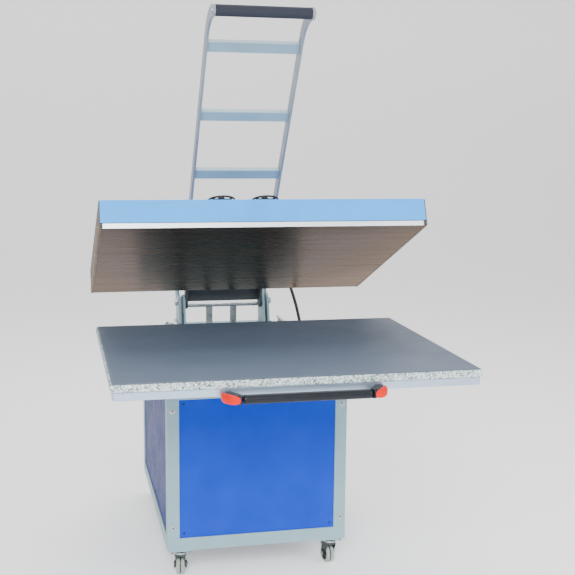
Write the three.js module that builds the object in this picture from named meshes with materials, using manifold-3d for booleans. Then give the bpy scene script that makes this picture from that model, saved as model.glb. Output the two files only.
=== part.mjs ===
// Large-format heat press: caster cabinet, draw-out lower platen, clamshell head, toggle lever.
// Millimetres. X to the right, Y to the rear, Z up from the floor. Every function lays its piece
// out with Y = 0 at the front edge of the drawn-out lower platen, and add() shifts it to the
// middle of the whole press. The head's pieces are laid out lying closed and then tilted open.
import * as THREE from "three";
import { mergeVertices } from "three/addons/utils/BufferGeometryUtils.js";
import Module from "manifold-3d";

const wasm = await Module();
wasm.setup();

// ---- driving dimensions ----
const GAP = 0.3; // running or seating gap between two separate pieces
const Y_MID = 695.25; // middle of the press from the handle's front to the cabinet's rear

const PLATEN_HALF = 500; // half the lower platen's width
const PLATEN_DEPTH = 800;
const PLATE_Z = [762, 784]; // lower aluminium plate
const PAD_Z = [784.3, 804]; // foam pad
const MAT_Z = [804.3, 806.7]; // top mat
const PAD_LIP = 5; // how far the pad stands out past the plate
const DRAW = 385; // how far the lower platen is drawn out

const CAB_HALF = 297; // half the cabinet's width
const CAB_Y = [604, 1453];
const CAB_Z = [96, 640];
const TUBE = 40; // cabinet post and rail depth
const RAIL_H = 42; // cabinet rail height
const SHEET = 1.5; // cabinet panel thickness
const RECESS = 3.5; // how far a panel sits back in its frame

const BASE_HALF = 210; // half the slide frame's width
const BASE_Z = [640.3, 690];
const BASE_TUBE = 50;
const BASE_REAR = 1335; // front of the slide frame's wide rear cross member

const HINGE = [1315, 793]; // head hinge, Y and Z
const TILT = -22.3 * Math.PI / 180; // head's open angle about the hinge
const HEAD_HALF = 502; // half the cover's width
const HEAD_Y = [383, 1187]; // cover, closed
const HEAD_Z = [824.3, 893.5];
const COVER_WALL = 2;
const HOT_HALF = 497; // half the heating plate's width
const HOT_Y = [388, 1182];
const HOT_Z = [807, 829.3];
const ARM_X = [98, 138];
const ARM_Y = [600, 1240];
const ARM_Z = [893.8, 950];
const LUG_X = [138.3, 146.3]; // hinge lug plate
const BOSS_R = 25;

const LEVER_X = [149, 157]; // lever bar, one side
const LEVER_W = 38; // lever bar's width
const LEVER_PIVOT = [1270.2, 948.8];
const LEVER_LEAN = 54.4 * Math.PI / 180; // bar's rise above the horizontal
const STRAIGHT = 961; // bar's straight length above the pivot
const BEND_R = 166; // bend at the top of the bar
const BEND = 58.6 * Math.PI / 180;
const CRANK = 140; // lever pivot to link pin
const CRANK_DROP = -35.4 * Math.PI / 180;
const RUNGS = { lower: 428, middle: 672, upper: 934 }; // along the bar from its pivot
const RUNG = [36, 20]; // rung section, along and across the bar
const GRIP_R = 18;
const LINK_X = [158, 165];
const LINK_R = 14;
const LINK_PIN = [1415.3, 920.1]; // link's fixed pin on the tower

const TOWER_IN = [149, 157];
const TOWER_OUT = [166, 174];
const STRUT_X = 86;
const STRUT_REAR = [1440, 930]; // strut's pin on the tower
const STRUT_FRONT = [1150, 930]; // strut's pin on the head arm, closed
const STRUT_R = 10; // cylinder's outside
const STRUT_BORE = 6;
const STRUT_ROD = 4;
const STRUT_PIN = 5;
const BRACE = [1360, 773]; // rear brace rod

const SCREW_X = 75;
const SCREW_Y = 769;
const SCREW_R = 8;
const WHEEL_Z = 1019; // handwheel rim, closed
const RIM = [42, 6.5]; // handwheel rim's radius and its own half thickness

const CASTER_X = 252.6; // swivel axis
const CASTER_Y = [630.2, 1426.8];
const TREAD_R = 32;
const TREAD_HALF = 13.5;
const TRAIL = 19;
const CASTER_TURN = { front_left: 8, front_right: -8, rear_left: 164, rear_right: 199 };

const HANDLE_HALF = 223; // half the handle's length
const HANDLE_END = 53; // length of each end bracket
const HANDLE_Y = -50;
const HANDLE_Z = 765;
const HANDLE_R = 12.5;
const CABLE_R = 6;

// ---- colours ----
const paint = (hex, roughness, metalness) =>
  new THREE.MeshStandardMaterial({ color: hex, roughness, metalness });
const MAT = {
  frame: paint(0xa3b1b6, 0.45, 0.1),
  panel: paint(0x2a5cc0, 0.25, 0.1),
  cover: paint(0x6fb6f2, 0.35, 0.1),
  lever: paint(0x8b9196, 0.45, 0.2),
  aluminium: paint(0xc3d2da, 0.35, 0.9),
  hot: paint(0x7a6450, 0.3, 0.9),
  zinc: paint(0xb4b8ba, 0.35, 0.9),
  mat: paint(0x4a5560, 0.6, 0.0),
  foam: paint(0xc8d0cd, 0.9, 0.0),
  black: paint(0x1c1d20, 0.5, 0.0),
  grip: paint(0x1e1f24, 0.8, 0.0),
  red: paint(0xe03a28, 0.4, 0.0),
  tread: paint(0xb0b8ad, 0.6, 0.0),
  wool: paint(0xd8d2c0, 0.95, 0.0),
};

const press = new THREE.Group();
press.name = "heat_press";

// ---- shape helpers ----
const toManifold = (geometry) => {
  const bare = geometry.clone();
  bare.deleteAttribute("normal");
  bare.deleteAttribute("uv");
  const merged = mergeVertices(bare, 1e-4);
  return new wasm.Manifold(new wasm.Mesh({
    numProp: 3,
    vertProperties: new Float32Array(merged.attributes.position.array),
    triVerts: new Uint32Array(merged.index.array),
  }));
};

const toGeometry = (solid) => {
  const mesh = solid.getMesh();
  const geometry = new THREE.BufferGeometry();
  geometry.setAttribute("position", new THREE.BufferAttribute(new Float32Array(mesh.vertProperties), 3));
  geometry.setIndex(new THREE.BufferAttribute(new Uint32Array(mesh.triVerts), 1));
  geometry.computeVertexNormals();
  return geometry;
};

const union = (...pieces) =>
  toGeometry(pieces.map(toManifold).reduce((sum, piece) => sum.add(piece)));

const cut = (body, ...tools) =>
  toGeometry(tools.map(toManifold).reduce((rest, tool) => rest.subtract(tool), toManifold(body)));

const box = (x, y, z) => {
  const geometry = new THREE.BoxGeometry(x[1] - x[0], y[1] - y[0], z[1] - z[0]);
  geometry.translate((x[0] + x[1]) / 2, (y[0] + y[1]) / 2, (z[0] + z[1]) / 2);
  return geometry;
};

// A right-hand pair of limits for side 1, mirrored for side -1.
const sided = (side, limits) => (side > 0 ? limits : [-limits[1], -limits[0]]);

// Corner points of a rounded rectangle between two limits on each of two axes.
const roundedPoints = (u, v, r, steps = 3) => {
  const corners = [[u[1] - r, v[1] - r, 0], [u[0] + r, v[1] - r, 1], [u[0] + r, v[0] + r, 2], [u[1] - r, v[0] + r, 3]];
  return corners.flatMap(([cu, cv, quarter]) =>
    Array.from({ length: steps + 1 }, (_, i) => {
      const angle = (quarter + i / steps) * Math.PI / 2;
      return [cu + r * Math.cos(angle), cv + r * Math.sin(angle)];
    }));
};

const shapeOf = (points) => new THREE.Shape(points.map(([u, v]) => new THREE.Vector2(u, v)));

// Extrudes Y-Z points along X between two limits.
const alongX = (points, x) => {
  const geometry = new THREE.ExtrudeGeometry(shapeOf(points), { depth: x[1] - x[0], bevelEnabled: false });
  geometry.applyMatrix4(new THREE.Matrix4().set(0, 0, 1, x[0], 1, 0, 0, 0, 0, 1, 0, 0, 0, 0, 0, 1));
  return geometry;
};

// Extrudes X-Z points along Y between two limits.
const alongY = (points, y) => {
  const geometry = new THREE.ExtrudeGeometry(shapeOf(points), { depth: y[1] - y[0], bevelEnabled: false });
  geometry.applyMatrix4(new THREE.Matrix4().set(1, 0, 0, 0, 0, 0, -1, y[1], 0, 1, 0, 0, 0, 0, 0, 1));
  return geometry;
};

// Extrudes X-Y points along Z between two limits.
const alongZ = (points, z) => {
  const geometry = new THREE.ExtrudeGeometry(shapeOf(points), { depth: z[1] - z[0], bevelEnabled: false });
  geometry.translate(0, 0, z[0]);
  return geometry;
};

// A flat sheet with rounded corners and softened top and bottom edges.
const slab = (x, y, z, corner, soft) => {
  const shape = shapeOf(roundedPoints(x, y, corner));
  const geometry = new THREE.ExtrudeGeometry(shape, {
    depth: z[1] - z[0] - 2 * soft,
    bevelThickness: soft,
    bevelSize: soft,
    bevelOffset: -soft,
    bevelSegments: 1,
  });
  geometry.translate(0, 0, z[0] + soft);
  return geometry;
};

const rodX = (radius, x, y, z, sides = 20) => {
  const geometry = new THREE.CylinderGeometry(radius, radius, x[1] - x[0], sides);
  geometry.rotateZ(Math.PI / 2);
  geometry.translate((x[0] + x[1]) / 2, y, z);
  return geometry;
};

const rodZ = (radius, x, y, z, sides = 20) => {
  const geometry = new THREE.CylinderGeometry(radius, radius, z[1] - z[0], sides);
  geometry.rotateX(Math.PI / 2);
  geometry.translate(x, y, (z[0] + z[1]) / 2);
  return geometry;
};

const arc = (centre, radius, from, to, steps) =>
  Array.from({ length: steps + 1 }, (_, i) => {
    const angle = from + (to - from) * i / steps;
    return [centre[0] + radius * Math.cos(angle), centre[1] + radius * Math.sin(angle)];
  });

// The outline of a flat bar that follows a line of points, with round ends.
const strip = (line, half, endSteps = 6) => {
  const direction = (i) => {
    const a = line[Math.max(i - 1, 0)];
    const b = line[Math.min(i + 1, line.length - 1)];
    return Math.atan2(b[1] - a[1], b[0] - a[0]);
  };
  const side = (sign) => line.slice(1, -1).map((point, i) => {
    const angle = direction(i + 1) + sign * Math.PI / 2;
    return [point[0] + half * Math.cos(angle), point[1] + half * Math.sin(angle)];
  });
  const first = direction(0);
  const last = direction(line.length - 1);
  return [
    ...arc(line[0], half, first + Math.PI / 2, first + 1.5 * Math.PI, endSteps),
    ...side(-1),
    ...arc(line[line.length - 1], half, last - Math.PI / 2, last + Math.PI / 2, endSteps),
    ...side(1).reverse(),
  ];
};

const add = (name, geometry, material) => {
  geometry.translate(0, -Y_MID, 0);
  const mesh = new THREE.Mesh(geometry, material);
  mesh.name = name;
  press.add(mesh);
};

// Turns a closed-head piece about the hinge to where the open head holds it.
const tilted = (geometry) => {
  geometry.translate(0, -HINGE[0], -HINGE[1]);
  geometry.rotateX(TILT);
  geometry.translate(0, HINGE[0], HINGE[1]);
  return geometry;
};

const tiltedPoint = ([x, y, z]) => {
  const v = new THREE.Vector3(0, y - HINGE[0], z - HINGE[1]).applyAxisAngle(new THREE.Vector3(1, 0, 0), TILT);
  return new THREE.Vector3(x, v.y + HINGE[0], v.z + HINGE[1]);
};

const sides = [["left", -1], ["right", 1]];

// ---- cabinet ----
const ring = (half, y, z, width, depth) => cut(
  box([-half, half], y, z),
  box([-half + width, half - width], [y[0] + depth, y[1] - depth], [z[0] - 1, z[1] + 1]),
);

function cabinetFrames() {
  const plates = CASTER_Y.flatMap((y) => sides.map(([, side]) =>
    slab([side * CASTER_X - 37, side * CASTER_X + 37], [y - 26, y + 26], [91.5, CAB_Z[0] + 1], 6, 0.5)));
  const bottom = ring(CAB_HALF, CAB_Y, [CAB_Z[0], CAB_Z[0] + RAIL_H], TUBE, TUBE);
  add("bottom_frame", union(bottom, ...plates), MAT.frame);
  add("top_frame", ring(CAB_HALF, CAB_Y, [CAB_Z[1] - RAIL_H, CAB_Z[1]], TUBE, TUBE), MAT.frame);
}

function cabinetPosts() {
  const rows = { front: [CAB_Y[0], CAB_Y[0] + TUBE], rear: [CAB_Y[1] - TUBE, CAB_Y[1]] };
  for (const [row, y] of Object.entries(rows)) {
    for (const [name, side] of sides) {
      const x = sided(side, [CAB_HALF - TUBE, CAB_HALF]);
      const z = [CAB_Z[0] + RAIL_H + GAP, CAB_Z[1] - RAIL_H - GAP];
      add(`post_${row}_${name}`, alongZ(roundedPoints(x, y, 2.5, 2), z), MAT.frame);
    }
  }
}

function cabinetPanels() {
  const x = [-CAB_HALF + TUBE + GAP, CAB_HALF - TUBE - GAP];
  const y = [CAB_Y[0] + TUBE + GAP, CAB_Y[1] - TUBE - GAP];
  const z = [CAB_Z[0] + RAIL_H + GAP, CAB_Z[1] - RAIL_H - GAP];
  add("panel_front", box(x, [CAB_Y[0] + RECESS, CAB_Y[0] + RECESS + SHEET], z), MAT.panel);
  add("panel_rear", box(x, [CAB_Y[1] - RECESS - SHEET, CAB_Y[1] - RECESS], z), MAT.panel);
  for (const [name, side] of sides) {
    const across = sided(side, [CAB_HALF - RECESS - SHEET, CAB_HALF - RECESS]);
    add(`panel_${name}`, box(across, y, z), MAT.panel);
  }
  add("panel_top", box(x, y, [CAB_Z[1] - RECESS - SHEET, CAB_Z[1] - RECESS]), MAT.frame);
}

function baseFrame() {
  const outer = box([-BASE_HALF, BASE_HALF], CAB_Y, BASE_Z);
  const inside = BASE_HALF - BASE_TUBE;
  const gap = box([-inside, inside], [CAB_Y[0] + BASE_TUBE, BASE_REAR], [BASE_Z[0] - 1, BASE_Z[1] + 1]);
  add("base_frame", cut(outer, gap), MAT.frame);
}

// ---- controls ----
const CONTROL = { x: [297.3, 352], y: [860, 1040], z: [420, 560] };
const CONTROL_INLET = [325, 486]; // where the head's cable enters the box's rear, X and Z

// A cable gland standing 12 mm out of a rear face at y.
function cableGland(x, y, z) {
  const gland = new THREE.CylinderGeometry(11, 11, 13, 20);
  gland.translate(x, y + 5.5, z);
  return gland;
}

function controls() {
  const housing = alongZ(roundedPoints(CONTROL.x, CONTROL.y, 6), CONTROL.z);
  const [x, z] = CONTROL_INLET;
  add("control_box", union(housing, cableGland(x, CONTROL.y[1], z)), MAT.frame);
}

// ---- towers at the rear ----
function towers() {
  const foot = BASE_Z[1] + GAP;
  const neck = arc(HINGE, 29, 0.9 * Math.PI, 0.35 * Math.PI, 6);
  const inner = [[1259, foot], ...neck, [1352, 812], [1376, 800], [1376, foot]];
  const top = [
    ...arc([LINK_PIN[0], LINK_PIN[1]], 22, Math.PI, 0.45 * Math.PI, 5),
    ...arc(STRUT_REAR, 13, 0.45 * Math.PI, -0.15 * Math.PI, 5),
  ];
  const outer = [[1259, foot], ...neck, ...top, [1392, 800], [1376, 770], [1376, foot]];
  for (const [name, side] of sides) {
    const plates = [
      alongX(inner, sided(side, TOWER_IN)),
      alongX(outer, sided(side, TOWER_OUT)),
      box(sided(side, [TOWER_IN[0] + 1, TOWER_OUT[1] - 1]), [1300, 1368], [foot, 740]),
      box(sided(side, [TOWER_IN[0], 204]), [1255, 1400], [foot, foot + 8]),
      rodX(STRUT_PIN, sided(side, [STRUT_X - 8, TOWER_OUT[0] + 1]), ...STRUT_REAR),
    ];
    add(`tower_${name}`, union(...plates), MAT.frame);
  }
}

function rearBrace() {
  const reach = TOWER_IN[0] - GAP;
  const flats = sides.map(([, side]) =>
    box(sided(side, [34.5, 59.5]), [BRACE[0] - 3, BRACE[0] + 3], [BASE_Z[1] + GAP, BRACE[1]]));
  add("rear_brace", union(rodX(7.5, [-reach, reach], ...BRACE), ...flats), MAT.zinc);
}

// ---- slides ----
const SLIDE_LENGTH = 620;
const SLIDE = { outer: 610, middle: 610 - DRAW / 2, inner: 160 };

function slides() {
  const run = (from) => [from, from + SLIDE_LENGTH];
  for (const [name, side] of sides) {
    const at = (x, z, from) => box(sided(side, x), run(from), z);
    const foot = BASE_Z[1] + GAP;
    const outer = union(
      at([163, 201], [foot, foot + 4], SLIDE.outer),
      at([197, 201], [foot, 748], SLIDE.outer),
      at([190, 198], [744, 748], SLIDE.outer),
      at([190, 198], [699, 703], SLIDE.outer),
    );
    const inner = union(
      at([163, 185.5], [757.7, PLATE_Z[0] - GAP], SLIDE.inner),
      at([181, 185.5], [722, 758], SLIDE.inner),
    );
    add(`slide_outer_${name}`, outer, MAT.zinc);
    add(`slide_middle_${name}`, at([186, 196.5], [704, 743], SLIDE.middle), MAT.zinc);
    add(`slide_inner_${name}`, inner, MAT.zinc);
  }
}

// ---- lower platen ----
function lowerPlaten() {
  const x = [-PLATEN_HALF, PLATEN_HALF];
  const wide = [-PLATEN_HALF - PAD_LIP, PLATEN_HALF + PAD_LIP];
  add("lower_plate", slab(x, [0, PLATEN_DEPTH], PLATE_Z, 8, 1.5), MAT.aluminium);
  add("foam_pad", slab(wide, [-2, PLATEN_DEPTH + 2], PAD_Z, 4, 1), MAT.foam);
  add("top_mat", slab(x, [1, PLATEN_DEPTH - 1], MAT_Z, 4, 0.6), MAT.mat);
}

function handle() {
  const tube = [HANDLE_END - HANDLE_HALF, HANDLE_HALF - HANDLE_END];
  add("handle_tube", rodX(HANDLE_R, tube, HANDLE_Y, HANDLE_Z, 24), MAT.black);
  const z = [HANDLE_Z - HANDLE_R, HANDLE_Z + HANDLE_R];
  const front = HANDLE_Y - HANDLE_R;
  const outline = [
    [2, -GAP], [33, -GAP], [46, -25], [HANDLE_END - GAP, HANDLE_Y + HANDLE_R],
    [HANDLE_END - GAP, front], [38, front], [17, front + 6], [5, front + 20], [0, front + 38],
  ];
  for (const [name, side] of sides) {
    const points = outline.map(([u, v]) => [side * (HANDLE_HALF - u), v]);
    const shape = shapeOf(side < 0 ? points : points.reverse());
    const soft = 4;
    const geometry = new THREE.ExtrudeGeometry(shape, {
      depth: z[1] - z[0] - 2 * soft,
      bevelThickness: soft,
      bevelSize: soft,
      bevelOffset: -soft,
      bevelSegments: 3,
    });
    geometry.translate(0, 0, z[0] + soft);
    add(`handle_end_${name}`, geometry, MAT.red);
  }
}

// ---- head ----
function headPlates() {
  const hot = slab([-HOT_HALF, HOT_HALF], HOT_Y, HOT_Z, 4, 1);
  add("heating_plate", tilted(hot), MAT.hot);
  const inX = [-HEAD_HALF + COVER_WALL, HEAD_HALF - COVER_WALL];
  const inY = [HEAD_Y[0] + COVER_WALL, HEAD_Y[1] - COVER_WALL];
  const shrink = ([a, b]) => [a + GAP, b - GAP];
  const wool = box(shrink(inX), shrink(inY), shrink([HOT_Z[1], HEAD_Z[1] - COVER_WALL]));
  add("insulation", tilted(wool), MAT.wool);
  const skin = alongZ(roundedPoints([-HEAD_HALF, HEAD_HALF], HEAD_Y, 4), HEAD_Z);
  const hollow = box(inX, inY, [HEAD_Z[0] - 1, HEAD_Z[1] - COVER_WALL]);
  const gland = cableGland(240, HEAD_Y[1], 856);
  add("head_cover", tilted(union(cut(skin, hollow), gland)), MAT.cover);
}

function headArms() {
  for (const [name, side] of sides) {
    const tube = alongY(roundedPoints(sided(side, ARM_X), ARM_Z, 5), ARM_Y);
    const stud = rodX(STRUT_PIN, sided(side, [STRUT_X - 8, ARM_X[0] + 1]), ...STRUT_FRONT);
    add(`arm_${name}`, tilted(union(tube, stud)), MAT.frame);
  }
  const reach = ARM_X[0] - GAP;
  const beam = box([-reach, reach], [SCREW_Y - 25, SCREW_Y + 25], [902, 944]);
  const bores = sides.map(([, side]) => rodZ(SCREW_R + 0.5, side * SCREW_X, SCREW_Y, [HEAD_Z[1], ARM_Z[1]]));
  add("pressure_beam", tilted(cut(beam, ...bores)), MAT.frame);
}

function hingeYoke() {
  const lug = [
    [1160, ARM_Z[0]], [1225, ARM_Z[0]], ...arc(HINGE, BOSS_R, 1.12 * Math.PI, 2.06 * Math.PI, 8),
    [1266, 948], [1160, 948],
  ];
  const web = strip([[1327, 802], [1288, 900]], 3, 2);
  const pivot = [1214.4, 920.1];
  const pieces = sides.flatMap(([, side]) => [
    alongX(lug, sided(side, LUG_X)),
    rodX(15, sided(side, [LUG_X[1] - 1, LEVER_X[0] - GAP]), ...pivot),
  ]);
  add("hinge_yoke", tilted(union(...pieces, alongX(web, [-LUG_X[0] - 1, LUG_X[0] + 1]))), MAT.frame);
}

function handwheels() {
  for (const [name, side] of sides) {
    const rim = new THREE.TorusGeometry(RIM[0], RIM[1], 8, 28);
    const spokes = [0, 1, 2].map((i) => {
      const spoke = box([0, RIM[0]], [-4.5, 4.5], [-3, 3]);
      spoke.rotateZ((i * 2 / 3 + 1 / 6) * Math.PI);
      return spoke;
    });
    const hub = rodZ(14, 0, 0, [-12, 9]);
    const wheel = union(rim, ...spokes, hub);
    wheel.translate(side * SCREW_X, SCREW_Y, WHEEL_Z);
    const screw = rodZ(SCREW_R, side * SCREW_X, SCREW_Y, [HEAD_Z[1] + GAP, WHEEL_Z], 16);
    add(`handwheel_${name}`, tilted(union(wheel, screw)), MAT.black);
  }
}

// ---- lever ----
const along = (s) => [
  LEVER_PIVOT[0] - s * Math.cos(LEVER_LEAN),
  LEVER_PIVOT[1] + s * Math.sin(LEVER_LEAN),
];
const crankPin = [
  LEVER_PIVOT[0] + CRANK * Math.cos(CRANK_DROP),
  LEVER_PIVOT[1] + CRANK * Math.sin(CRANK_DROP),
];

// The bend's own points, from the end of the straight to the grip.
const bendPoints = () => {
  const start = along(STRAIGHT);
  const centre = [
    start[0] - BEND_R * Math.sin(LEVER_LEAN),
    start[1] - BEND_R * Math.cos(LEVER_LEAN),
  ];
  const from = Math.PI / 2 - LEVER_LEAN;
  return arc(centre, BEND_R, from, from + BEND, 12);
};

function leverBars() {
  const line = [crankPin, LEVER_PIVOT, ...bendPoints()];
  for (const [name, side] of sides) {
    add(`lever_bar_${name}`, alongX(strip(line, LEVER_W / 2), sided(side, LEVER_X)), MAT.lever);
  }
  const grip = bendPoints().at(-1);
  const reach = LEVER_X[0] - GAP;
  add("lever_grip", rodX(GRIP_R, [-reach, reach], ...grip, 28), MAT.grip);
}

function rungs() {
  const reach = LEVER_X[0] - GAP;
  for (const [name, s] of Object.entries(RUNGS)) {
    const section = roundedPoints([-RUNG[0] / 2, RUNG[0] / 2], [-RUNG[1] / 2, RUNG[1] / 2], 2, 2);
    const rung = alongX(section, [-reach, reach]);
    rung.rotateX(-LEVER_LEAN);
    rung.translate(0, ...along(s));
    add(`rung_${name}`, rung, MAT.lever);
  }
}

function links() {
  for (const [name, side] of sides) {
    add(`link_${name}`, alongX(strip([crankPin, LINK_PIN], LINK_R), sided(side, LINK_X)), MAT.zinc);
  }
}

// Pulling struts, laid out along +Y from the rear pin and then turned to the front pin.
function struts() {
  const front = tiltedPoint([0, ...STRUT_FRONT]);
  const reach = [front.y - STRUT_REAR[0], front.z - STRUT_REAR[1]];
  const length = Math.hypot(...reach);
  const eye = (at, half) => cut(
    rodX(9.5, [-half, half], at, 0),
    rodX(STRUT_PIN + GAP, [-half - 1, half + 1], at, 0),
  );
  const lathe = (profile) =>
    new THREE.LatheGeometry(profile.map(([r, a]) => new THREE.Vector2(r, a)), 20);
  const tube = [[0, 8], [STRUT_R, 8], [STRUT_R, 160], [STRUT_BORE, 160], [STRUT_BORE, 24], [0, 24]];
  const rod = [[0, 50], [STRUT_ROD, 50], [STRUT_ROD, length - 8], [0, length - 8]];
  for (const [name, side] of sides) {
    const parts = {
      cylinder: union(cut(lathe(tube), rodX(STRUT_PIN + GAP, [-20, 20], 0, 0)), eye(0, 7)),
      rod: union(lathe(rod), eye(length, 6)),
    };
    for (const [part, geometry] of Object.entries(parts)) {
      geometry.rotateX(Math.atan2(reach[1], reach[0]));
      geometry.translate(side * STRUT_X, ...STRUT_REAR);
      add(`strut_${part}_${name}`, geometry, part === "rod" ? MAT.zinc : MAT.black);
    }
  }
}

// ---- cable from the head to the control box ----
function cable() {
  const start = tiltedPoint([240, HEAD_Y[1] + 13.5, 856]);
  const out = tiltedPoint([240.5, HEAD_Y[1] + 34, 856]);
  const hang = [[263, 1292, 839], [288, 1318, 775], [305, 1325, 711], [317, 1322, 650], [322, 1304, 592]];
  const sweep = [[325, 1268, 538], [326, 1218, 503], [326, 1160, 489], [325, 1105, 486]];
  const [endX, endZ] = CONTROL_INLET;
  const last = [endX, CONTROL.y[1] + 12.6, endZ];
  const points = [start, out, ...[...hang, ...sweep, last].map((p) => new THREE.Vector3(...p))];
  const curve = new THREE.CatmullRomCurve3(points, false, "centripetal");
  const ringShape = shapeOf(arc([0, 0], CABLE_R, 0, 2 * Math.PI * 11 / 12, 11));
  const geometry = new THREE.ExtrudeGeometry(ringShape, { steps: 64, extrudePath: curve, bevelEnabled: false });
  add("head_cable", geometry, MAT.black);
}

// ---- casters ----
function casters() {
  for (const [row, y] of [["front", CASTER_Y[0]], ["rear", CASTER_Y[1]]]) {
    for (const [name, side] of sides) {
      const turn = -CASTER_TURN[`${row}_${name}`] * Math.PI / 180;
      const place = (geometry) => {
        geometry.rotateZ(turn);
        geometry.translate(side * CASTER_X, y, 0);
        return geometry;
      };
      add(`caster_fork_${row}_${name}`, place(fork()), MAT.zinc);
      add(`caster_wheel_${row}_${name}`, place(casterWheel()), MAT.tread);
      if (row === "front") add(`caster_brake_${name}`, place(brake()), MAT.black);
    }
  }
}

// Laid out with the swivel axis at 0, 0 and the wheel trailing to the rear.
function fork() {
  const cheek = [[-14, 73], [-10, 62], [TRAIL - 9, 30], [TRAIL - 4, 24], [TRAIL + 4, 24],
    [TRAIL + 9, 30], [34, 60], [34, 70], [26, 73]];
  const x = TREAD_HALF + 0.7;
  const cheeks = sides.map(([, side]) => alongX(cheek.slice().reverse(), sided(side, [x, x + 2.5])));
  return union(
    ...cheeks,
    box([-x - 1, x + 1], [-14, 26], [69.5, 73]),
    rodZ(20, 0, 0, [72, 84]),
    rodZ(15, 0, 0, [83, 91.5 - GAP]),
  );
}

function casterWheel() {
  const half = TREAD_HALF;
  const profile = [
    [0, -half], [26, -half], [TREAD_R - 2, -half + 3], [TREAD_R, -half + 6], [TREAD_R, -3], [TREAD_R - 4, -1.5],
    [TREAD_R - 4, 1.5], [TREAD_R, 3], [TREAD_R, half - 6], [TREAD_R - 2, half - 3], [26, half], [0, half],
  ];
  const wheel = new THREE.LatheGeometry(profile.map(([r, a]) => new THREE.Vector2(r, a)), 28);
  wheel.rotateZ(Math.PI / 2);
  wheel.translate(0, TRAIL, TREAD_R);
  return wheel;
}

function brake() {
  const pad = alongX(strip([[30, 65.6], [62, 51.4]], 1.6, 2), [-11, 11]);
  return union(pad, rodX(2.8, [-TREAD_HALF, TREAD_HALF], 30, 66, 10));
}

cabinetFrames();
cabinetPosts();
cabinetPanels();
baseFrame();
controls();
towers();
rearBrace();
slides();
lowerPlaten();
handle();
headPlates();
headArms();
hingeYoke();
handwheels();
leverBars();
rungs();
links();
struts();
cable();
casters();

export default press;
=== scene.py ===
"""Heat press with a draw-out bed: finishes, fittings, bed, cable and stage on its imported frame."""

import math

import bmesh
import bpy
from bpy.props import FloatProperty, FloatVectorProperty, IntProperty, PointerProperty
from mathutils import Matrix, Vector, noise


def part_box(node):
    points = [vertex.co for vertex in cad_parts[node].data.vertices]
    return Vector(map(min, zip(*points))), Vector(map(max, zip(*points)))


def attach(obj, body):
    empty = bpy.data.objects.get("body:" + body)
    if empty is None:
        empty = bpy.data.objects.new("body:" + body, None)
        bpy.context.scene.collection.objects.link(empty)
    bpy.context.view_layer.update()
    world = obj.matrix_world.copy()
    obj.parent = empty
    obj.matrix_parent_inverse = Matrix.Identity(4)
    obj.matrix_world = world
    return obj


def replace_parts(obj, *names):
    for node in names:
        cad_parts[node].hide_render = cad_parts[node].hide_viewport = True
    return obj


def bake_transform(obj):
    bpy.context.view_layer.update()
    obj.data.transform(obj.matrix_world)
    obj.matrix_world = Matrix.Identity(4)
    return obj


bl_info = {
    "name": "Heat Press",
    "version": (1, 0, 0),
    "blender": (4, 5, 0),
    "location": "3D View > Sidebar > Heat Press",
    "description": "Dresses a large-format heat press: paint, metal, bed, lever, casters, cable and stage",
    "category": "Add Mesh",
}

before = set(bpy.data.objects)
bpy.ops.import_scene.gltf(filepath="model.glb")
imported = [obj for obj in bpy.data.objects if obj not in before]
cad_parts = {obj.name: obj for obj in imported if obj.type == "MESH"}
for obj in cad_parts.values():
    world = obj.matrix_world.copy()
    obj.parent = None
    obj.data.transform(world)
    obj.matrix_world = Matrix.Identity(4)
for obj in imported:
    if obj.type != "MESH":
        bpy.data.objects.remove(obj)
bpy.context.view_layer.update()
SIDES = (("left", -1), ("right", 1))

# ---- the press's own layout, in millimetres, with Y = 0 at the drawn-out bed's front edge ----
Y_MID = 695.25
HINGE = (1315.0, 793.0)
TILT = math.radians(-22.3)
LEVER_PIVOT = (1270.2, 948.8)
LEVER_LEAN = math.radians(54.4)
CRANK_PIN = (1384.32, 867.7)
LINK_PIN = (1415.3, 920.1)
STRUT_X = 86.0
STRUT_REAR = (1440.0, 930.0)
STRUT_FRONT = (1150.0, 930.0)
HEAD_MID_Y = 785
HEAD_MID_Z = 850.2
SCREW_X = 75
SCREW_Y = 769
BAR_INNER_X = 148.3
CABLE_ON_HEAD = ((240, 1200.5, 856), (240.5, 1221, 856))
CABLE_HANGING = (
    (263, 1292, 839), (288, 1318, 775), (305, 1325, 711), (317, 1322, 650), (322, 1304, 592),
    (325, 1268, 538), (326, 1218, 503), (326, 1160, 489), (325, 1105, 486), (325, 1052.6, 486),
)
GLAND_END = (325, 1040, 486)
CASTER_X = 252.6
CASTER_Y = {"front": 630.2, "rear": 1426.8}
CASTER_TURN = {"front_left": 8, "front_right": -8, "rear_left": 164, "rear_right": 199}
TRAIL = 19.0
AXLE_Z = 32.0
FORK_HALF = 16.65

CAMERA_PLACE = (-644.3, -2607.3, 1449.2)
CAMERA_TURNS = (12.9, 8.6, 0.6)  # yaw, pitch and roll, in degrees
# each lamp's name, place, target, size in metres and share of the key light's power
LAMPS = (
    ("key", (-1.4, -4.6, 3.3), (0, 0.0, 0.6), 2.0, 1.0),
    ("fill", (3.4, -3.2, 3.0), (0, 0.1, 0.7), 2.4, 0.35),
    ("top", (0.3, 1.6, 4.6), (0, 0.2, 0.6), 3.0, 0.45),
)

X_AXIS = Vector((1, 0, 0))
Y_AXIS = Vector((0, 1, 0))
Z_AXIS = Vector((0, 0, 1))


def at(x, y, z):
    """A layout point in the row frame, in metres."""
    return Vector((x, y - Y_MID, z)) / 1000


HINGE_POINT = at(0, *HINGE)
HEAD_TILT = (
    Matrix.Translation(HINGE_POINT)
    @ Matrix.Rotation(TILT, 4, "X")
    @ Matrix.Translation(-HINGE_POINT)
)


def on_head(x, y, z):
    """A point of the lying head, where the open head holds it."""
    return HEAD_TILT @ at(x, y, z)


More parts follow.
